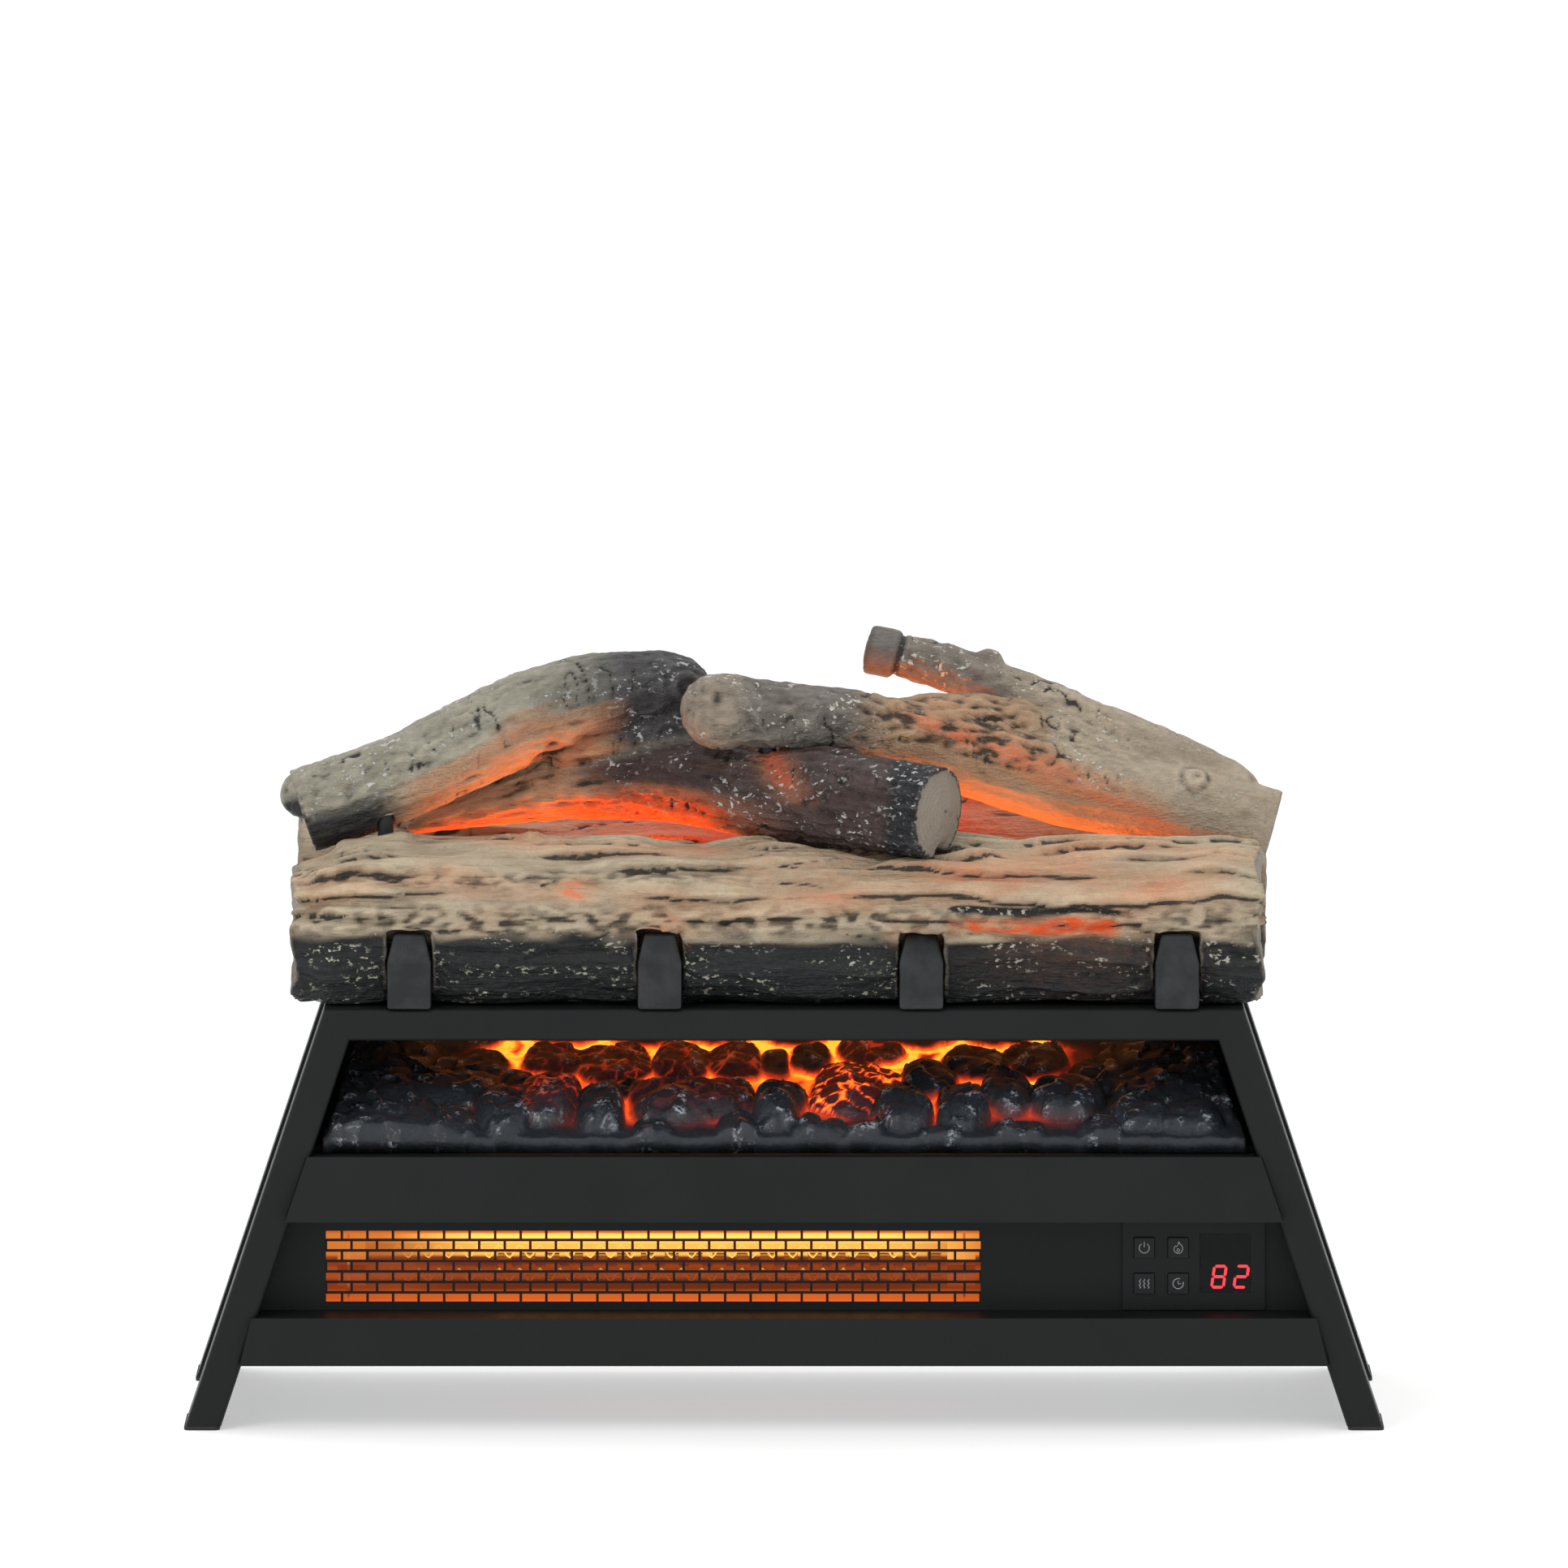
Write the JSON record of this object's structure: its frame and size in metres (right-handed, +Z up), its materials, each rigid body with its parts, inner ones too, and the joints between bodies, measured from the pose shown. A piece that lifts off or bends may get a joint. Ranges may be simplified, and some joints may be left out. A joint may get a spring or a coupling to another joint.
{
  "type": "electric log fire heater",
  "caption": "Free-standing electric log fire: a moulded log set and ember bed on a splayed black sheet-steel stand with a quartz fan heater, key panel and digital display.",
  "frame": {"origin": "on the floor, below the middle of the whole fire's box", "axes": "+X to the user's right when facing the fire, +Y from the front to the back, +Z up"},
  "size_m": [0.6, 0.248, 0.3898],
  "materials": {
    "frame_black": "fine satin black powder coat",
    "galvanised": "plain galvanised sheet",
    "bright_steel": "bright rolled steel",
    "wheel_aluminium": "bright stamped aluminium",
    "motor_steel": "plated motor can",
    "bearing_brass": "sintered bronze",
    "quartz": "clear quartz tube",
    "hot_coil": "heating wire, glowing orange-yellow in the lit tube",
    "ceramic_white": "matte white ceramic",
    "foot_rubber": "black rubber",
    "control_plastic": "fine matte black",
    "smoked_lens": "smoked clear plastic",
    "display_red": "lit red segments",
    "component_black": "moulded black",
    "circuit_board": "green solder mask",
    "led_amber": "lit amber lamps",
    "ember_resin": "glossy moulded coals, glowing orange in the cracks",
    "window_clear": "clear pane with a light amber tint",
    "log_tan": "moulded split wood, charred below, tan dry-brushed ridges",
    "log_bark": "moulded grey-brown bark with pale flecks",
    "log_charred": "charred black with pale flecks and a pale cut end"
  },
  "bodies": {
    "stand": {"foot_pads": "foot_rubber", "front_leg_left": "frame_black", "front_leg_right": "frame_black", "rear_leg_left": "frame_black", "rear_leg_right": "frame_black", "front_top_rail": "frame_black", "rear_top_rail": "frame_black", "top_deck": "frame_black", "left_side_panel": "frame_black", "right_side_panel": "frame_black", "back_panel": "frame_black", "base_pan": "galvanised", "front_panel": "frame_black", "brow_strip": "frame_black", "lower_strip": "frame_black", "case_screws": "galvanised", "heater_grille": "frame_black", "reflector": "bright_steel", "quartz_tubes": "quartz", "heating_coils": "hot_coil", "tube_end_caps": "ceramic_white", "tube_brackets": "galvanised", "thermal_cutout": "ceramic_white", "blower_housing": "galvanised", "blower_motor": "motor_steel", "blower_bearing": "bearing_brass", "control_fascia": "control_plastic", "display_lens": "smoked_lens", "display_module": "component_black", "display_digits": "display_red", "ir_receiver": "component_black", "control_board": "circuit_board", "tact_switches": "component_black", "light_shelf": "galvanised", "ember_bed": "ember_resin", "ember_supports": "galvanised", "led_board": "circuit_board", "led_lamps": "led_amber", "flicker_motor": "motor_steel", "flicker_brackets": "galvanised", "flame_mask": "galvanised", "projection_window": "window_clear", "glow_window": "window_clear", "power_board": "circuit_board", "board_parts": "component_black", "cord_gland": "control_plastic", "front_log": "log_tan", "rear_log": "log_tan", "left_log": "log_charred", "right_log": "log_bark", "grate": "frame_black", "log_pegs": "frame_black"},
    "power_key": {"key_power": "control_plastic"},
    "flame_key": {"key_flame": "control_plastic"},
    "heat_key": {"key_heat": "control_plastic"},
    "timer_key": {"key_timer": "control_plastic"},
    "blower_rotor": {"blower_wheel": "wheel_aluminium", "blower_shaft": "bright_steel"},
    "flicker_rotor": {"flicker_shaft": "bright_steel", "flicker_petals": "wheel_aluminium"}
  },
  "joints": [
    {"name": "power_press", "type": "slide", "parent": "stand", "child": "power_key", "axis": [0, 1, 0], "range_m": [0, 0.0008], "stiffness_N_per_m": 300},
    {"name": "flame_press", "type": "slide", "parent": "stand", "child": "flame_key", "axis": [0, 1, 0], "range_m": [0, 0.0008], "stiffness_N_per_m": 300},
    {"name": "heat_press", "type": "slide", "parent": "stand", "child": "heat_key", "axis": [0, 1, 0], "range_m": [0, 0.0008], "stiffness_N_per_m": 300},
    {"name": "timer_press", "type": "slide", "parent": "stand", "child": "timer_key", "axis": [0, 1, 0], "range_m": [0, 0.0008], "stiffness_N_per_m": 300},
    {"name": "blower_spin", "type": "hinge", "parent": "stand", "child": "blower_rotor", "pos_m": [0, 0.005, 0.07], "axis": [1, 0, 0], "continuous": true},
    {"name": "flicker_spin", "type": "hinge", "parent": "stand", "child": "flicker_rotor", "pos_m": [0, -0.02, 0.126], "axis": [1, 0, 0], "continuous": true}
  ]
}
